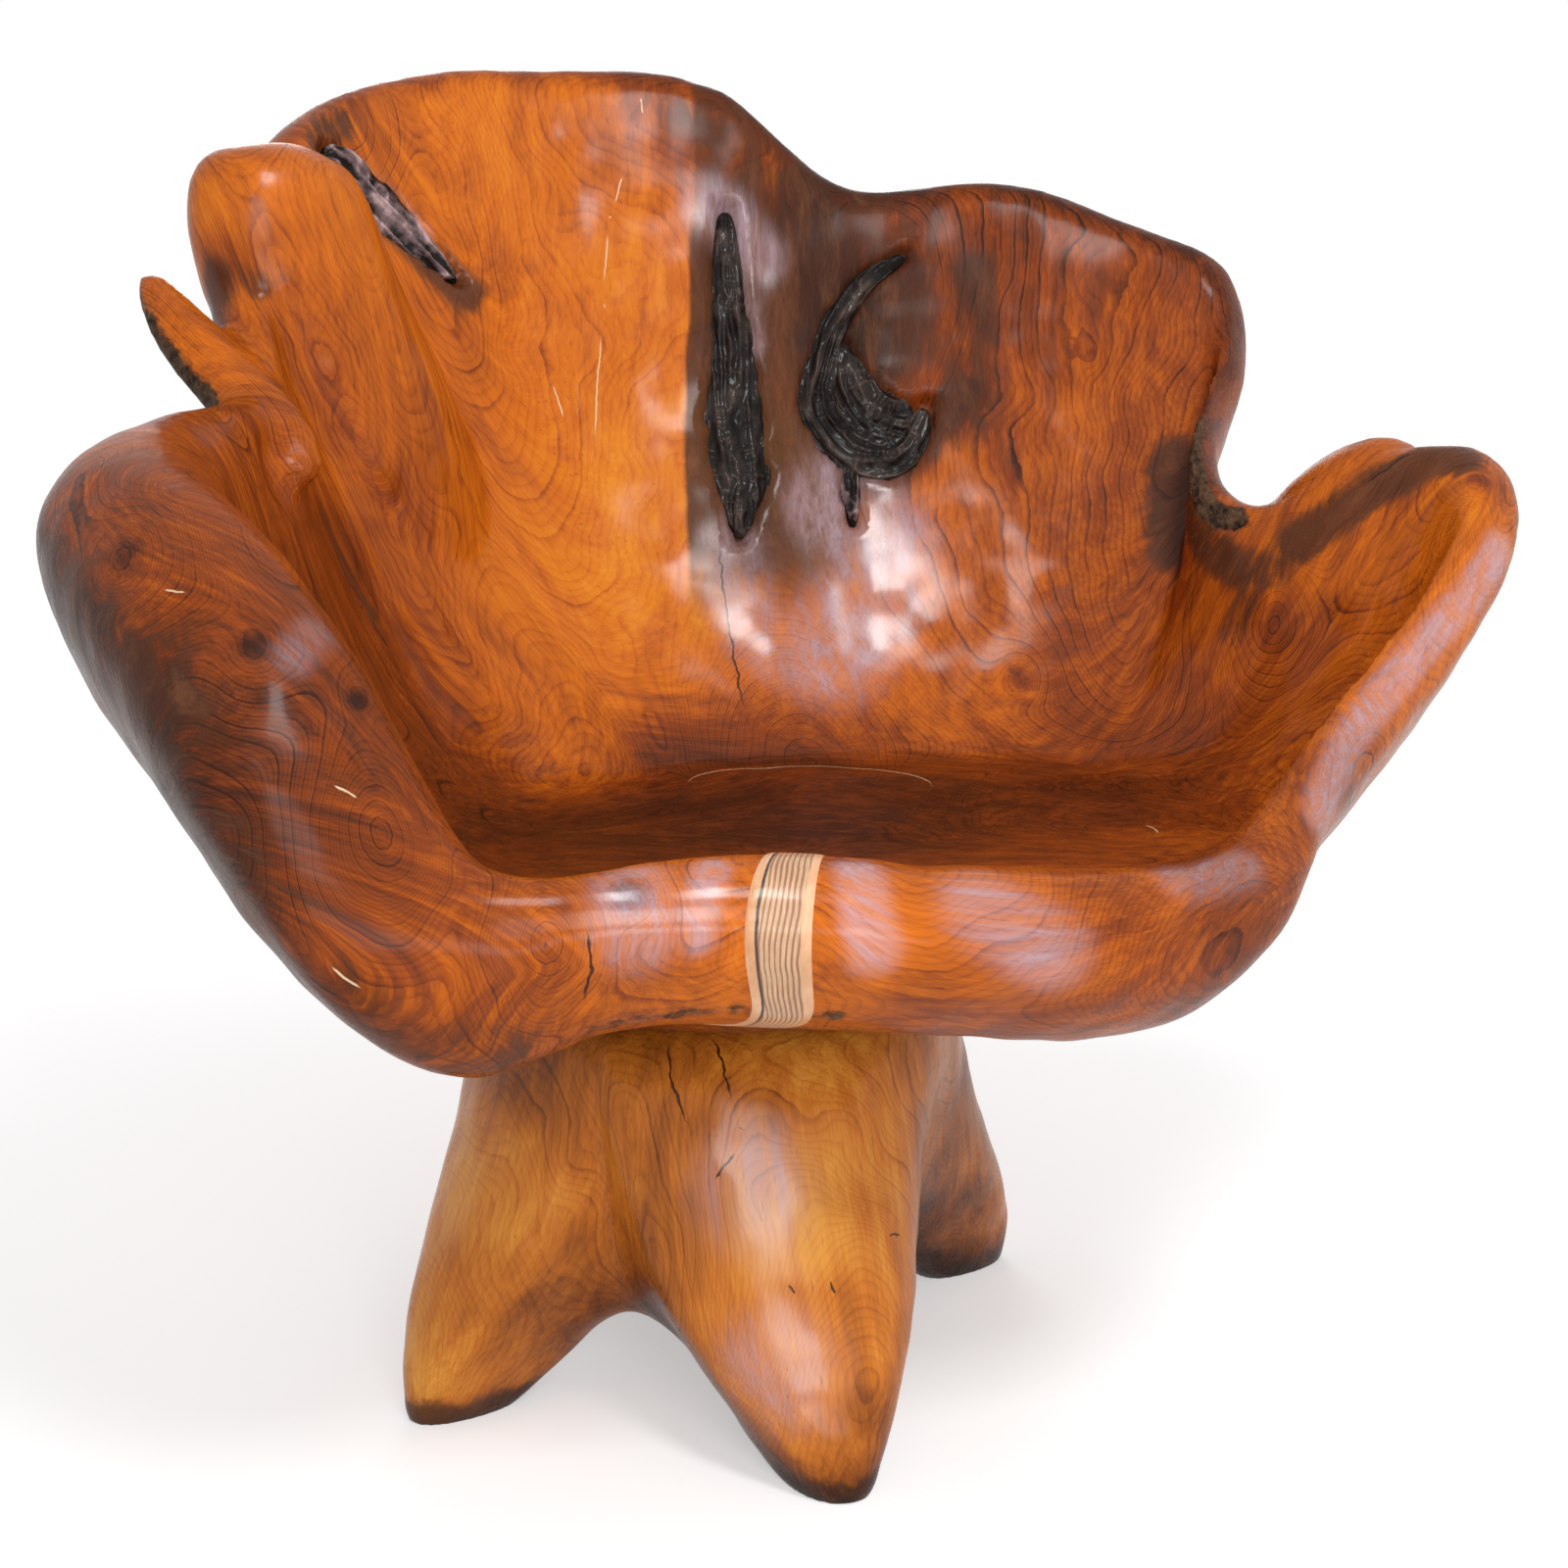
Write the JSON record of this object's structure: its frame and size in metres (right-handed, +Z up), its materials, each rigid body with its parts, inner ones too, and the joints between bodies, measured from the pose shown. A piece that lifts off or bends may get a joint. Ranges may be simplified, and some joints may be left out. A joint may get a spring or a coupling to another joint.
{
  "type": "swivel chair",
  "caption": "Carved root-wood lounge chair: a bowl seat with an uneven, petal-like rim that turns on a ball bearing over a root base with spread feet.",
  "frame": {"origin": "middle of the chair's outline at floor level", "axes": "+Z up, -Y the way the sitter faces, +X to the right of someone who looks at the chair's front"},
  "size_m": [1.052, 0.7313, 1.0023],
  "materials": {
    "seat_wood": "lacquered burl and root wood with a bright gloss",
    "base_wood": "lacquered root wood, yellower than the seat, worn dark at the feet",
    "inlay_wood": "pale softwood under worn lacquer",
    "sheet_steel": "dark pressed sheet steel",
    "ball_steel": "polished steel",
    "cage_brass": "stamped brass sheet",
    "screw_steel": "zinc-plated steel"
  },
  "bodies": {
    "base": {"base_root": "base_wood", "lower_plate": "sheet_steel", "lower_screw_1": "screw_steel", "lower_screw_2": "screw_steel", "lower_screw_3": "screw_steel", "lower_screw_4": "screw_steel"},
    "cage": {"bearing_cage": "cage_brass", "ball_01": "ball_steel", "ball_02": "ball_steel", "ball_03": "ball_steel", "ball_04": "ball_steel", "ball_05": "ball_steel", "ball_06": "ball_steel", "ball_07": "ball_steel", "ball_08": "ball_steel", "ball_09": "ball_steel", "ball_10": "ball_steel", "ball_11": "ball_steel", "ball_12": "ball_steel", "ball_13": "ball_steel", "ball_14": "ball_steel", "ball_15": "ball_steel", "ball_16": "ball_steel"},
    "seat": {"upper_plate": "sheet_steel", "upper_screw_1": "screw_steel", "upper_screw_2": "screw_steel", "upper_screw_3": "screw_steel", "upper_screw_4": "screw_steel", "seat_body": "seat_wood", "front_inlay": "inlay_wood"}
  },
  "joints": [
    {"name": "seat_swivel", "type": "hinge", "parent": "base", "child": "seat", "pos_m": [-0.0735, 0.052, 0.3], "axis": [0, 0, 1], "continuous": true},
    {"name": "cage_roll", "type": "hinge", "parent": "base", "child": "cage", "pos_m": [-0.0735, 0.052, 0.3], "axis": [0, 0, 1], "continuous": true}
  ],
  "couplings": [
    {"joint": "cage_roll", "follows": "seat_swivel", "ratio": 0.5}
  ]
}
